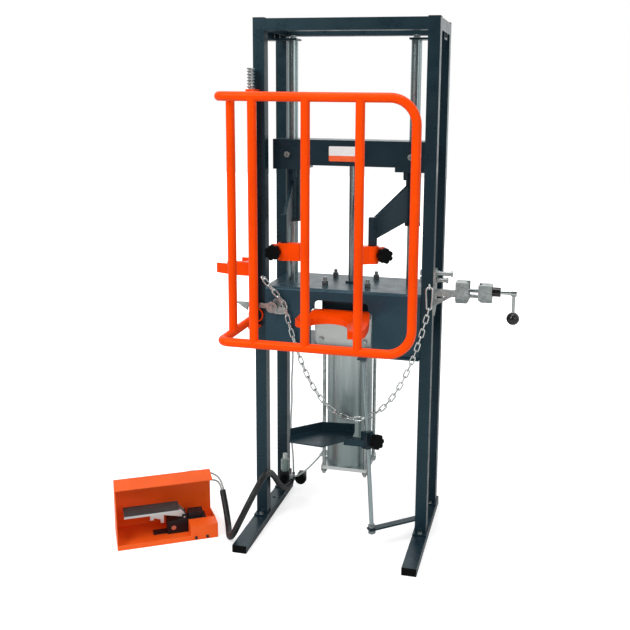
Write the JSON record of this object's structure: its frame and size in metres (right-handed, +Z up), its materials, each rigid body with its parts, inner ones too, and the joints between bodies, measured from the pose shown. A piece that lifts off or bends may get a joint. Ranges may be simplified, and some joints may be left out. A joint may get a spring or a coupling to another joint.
{
  "type": "pneumatic coil spring compressor press",
  "caption": "Floor-standing air-operated press for coil springs and struts: ram-driven crosshead with swinging claws over a fork, hinged tube guard, side vise, strut shelf and foot pedal.",
  "frame": {"origin": "on the floor under the press axis, midway between the anchor holes in the two feet", "axes": "+Z up, +X to the right seen from the front, +Y to the rear"},
  "size_m": [1.3303, 0.6327, 1.718],
  "materials": {
    "frame_paint": "satin powder coat",
    "black_plastic": "moulded, satin",
    "galvanised_steel": "galvanised",
    "rod_steel": "ground and hard chromed",
    "cylinder_steel": "drawn tube, satin",
    "dark_cast": "dark paint",
    "holder_plate": "zinc plated plate",
    "orange_paint": "gloss powder coat",
    "black_steel": "blackened",
    "valve_black": "moulded",
    "bowl_plastic": "translucent pale",
    "hose_rubber": "smooth rubber",
    "tube_plastic": "clear grey tube"
  },
  "bodies": {
    "root": {"feet": "frame_paint", "tube_end_plugs": "black_plastic", "posts": "frame_paint", "post_base_plates": "frame_paint", "frame_bolts": "galvanised_steel", "top_rails": "frame_paint", "rod_brackets": "frame_paint", "guide_rods": "rod_steel", "main_beam": "frame_paint", "cylinder_end_caps": "dark_cast", "cylinder_barrel": "cylinder_steel", "tie_rods": "galvanised_steel", "hex_nuts": "galvanised_steel", "air_fittings": "valve_black", "lower_fork": "orange_paint", "fork_holder": "holder_plate", "shelf_rod": "rod_steel", "shelf_rod_bracket": "frame_paint", "guard_brackets": "orange_paint", "guard_pin": "galvanised_steel", "guard_spring": "galvanised_steel", "vise_bracket": "galvanised_steel", "vise_screw": "black_steel", "hook_clamp": "galvanised_steel", "spare_fork": "orange_paint", "safety_chain": "galvanised_steel", "snap_hook": "galvanised_steel", "filter_regulator": "valve_black", "filter_bowl": "bowl_plastic", "flow_valve": "valve_black", "pedal_housing": "orange_paint", "pedal_valve": "valve_black", "pedal_screws": "black_steel", "air_hose": "hose_rubber", "pedal_tube_upper": "tube_plastic", "pedal_tube_lower": "tube_plastic", "supply_tube": "tube_plastic", "cylinder_tube": "tube_plastic"},
    "crosshead": {"crosshead_bar": "frame_paint", "crosshead_end_blocks": "frame_paint", "crosshead_bushes": "dark_cast", "clamp_screws": "galvanised_steel", "piston_rod": "rod_steel", "piston": "cylinder_steel"},
    "left_arm": {"left_arm": "frame_paint"},
    "right_arm": {"right_arm": "frame_paint"},
    "left_claw": {"left_claw": "orange_paint"},
    "right_claw": {"right_claw": "orange_paint"},
    "left_claw_knob": {"left_claw_knob": "black_plastic"},
    "right_claw_knob": {"right_claw_knob": "black_plastic"},
    "shelf": {"strut_shelf": "frame_paint"},
    "shelf_knob": {"shelf_knob": "black_plastic"},
    "guard": {"guard": "orange_paint"},
    "vise_jaw": {"vise_jaw": "galvanised_steel"},
    "vise_handle": {"vise_nut": "black_steel", "vise_handle": "rod_steel"},
    "snap_gate": {"snap_gate": "galvanised_steel"},
    "regulator_knob": {"regulator_knob": "black_plastic"},
    "flow_knob": {"flow_knob": "black_plastic"},
    "pedal_tread": {"pedal_tread": "black_steel"}
  },
  "joints": [
    {"name": "crosshead_slide", "type": "slide", "parent": "root", "child": "crosshead", "axis": [0, 0, 1], "range_m": [-0.1, 0.28]},
    {"name": "left_arm_swing", "type": "hinge", "parent": "crosshead", "child": "left_arm", "pos_m": [-0.207, 0, 1.0647], "axis": [0, 0, 1], "range_deg": [-12, 31]},
    {"name": "right_arm_swing", "type": "hinge", "parent": "crosshead", "child": "right_arm", "pos_m": [0.207, 0, 1.0647], "axis": [0, 0, 1], "range_deg": [-11, 38]},
    {"name": "left_claw_turn", "type": "hinge", "parent": "left_arm", "child": "left_claw", "pos_m": [-0.17664, -0.20072, 0.9537], "axis": [0, 0, 1], "range_deg": [-30, 30]},
    {"name": "right_claw_turn", "type": "hinge", "parent": "right_arm", "child": "right_claw", "pos_m": [0.10952, -0.17806, 0.9537], "axis": [0, 0, 1], "range_deg": [-30, 30]},
    {"name": "left_claw_knob_turn", "type": "hinge", "parent": "left_claw", "child": "left_claw_knob", "pos_m": [-0.20553, -0.21777, 0.9817], "axis": [0.0698, -0.9976, 0], "continuous": true},
    {"name": "right_claw_knob_turn", "type": "hinge", "parent": "right_claw", "child": "right_claw_knob", "pos_m": [0.14291, -0.17488, 0.9817], "axis": [0.5299, -0.848, 0], "continuous": true},
    {"name": "shelf_slide", "type": "slide", "parent": "root", "child": "shelf", "axis": [-0.0877, 0.1125, 0.9898], "range_m": [-0.23, 0.012]},
    {"name": "shelf_knob_turn", "type": "hinge", "parent": "shelf", "child": "shelf_knob", "pos_m": [0.12496, -0.20542, 0.36814], "axis": [0.8131, -0.5659, 0.1364], "continuous": true},
    {"name": "guard_swing", "type": "hinge", "parent": "root", "child": "guard", "pos_m": [-0.297, -0.165, 0.742], "axis": [0, 0, -1], "range_deg": [0, 110]},
    {"name": "vise_jaw_slide", "type": "slide", "parent": "root", "child": "vise_jaw", "axis": [1, 0, 0], "range_m": [-0.01801, 0.02001]},
    {"name": "vise_handle_turn", "type": "hinge", "parent": "vise_jaw", "child": "vise_handle", "pos_m": [0.487, -0.117, 0.871], "axis": [1, 0, 0], "range_deg": [-2160, 2400]},
    {"name": "snap_gate_swing", "type": "hinge", "parent": "root", "child": "snap_gate", "pos_m": [0.30044, -0.159, 0.8292], "axis": [0, -1, 0], "range_deg": [0, 18], "stiffness_Nm_per_rad": 0.02, "springref_deg": -5.73},
    {"name": "regulator_knob_turn", "type": "hinge", "parent": "root", "child": "regulator_knob", "pos_m": [-0.264, 0.078, 0.072], "axis": [0, -1, 0], "range_deg": [-540, 540]},
    {"name": "flow_knob_turn", "type": "hinge", "parent": "root", "child": "flow_knob", "pos_m": [-0.197, 0.078, 0.082], "axis": [0, -1, 0], "range_deg": [0, 720]},
    {"name": "pedal_press", "type": "hinge", "parent": "root", "child": "pedal_tread", "pos_m": [-0.52038, -0.2657, 0.058], "axis": [0.521, -0.8536, 0], "range_deg": [0, 12], "stiffness_Nm_per_rad": 5, "springref_deg": -22.92}
  ],
  "couplings": [
    {"joint": "vise_jaw_slide", "follows": "vise_handle_turn", "m_per_rad": 0.00047746}
  ]
}
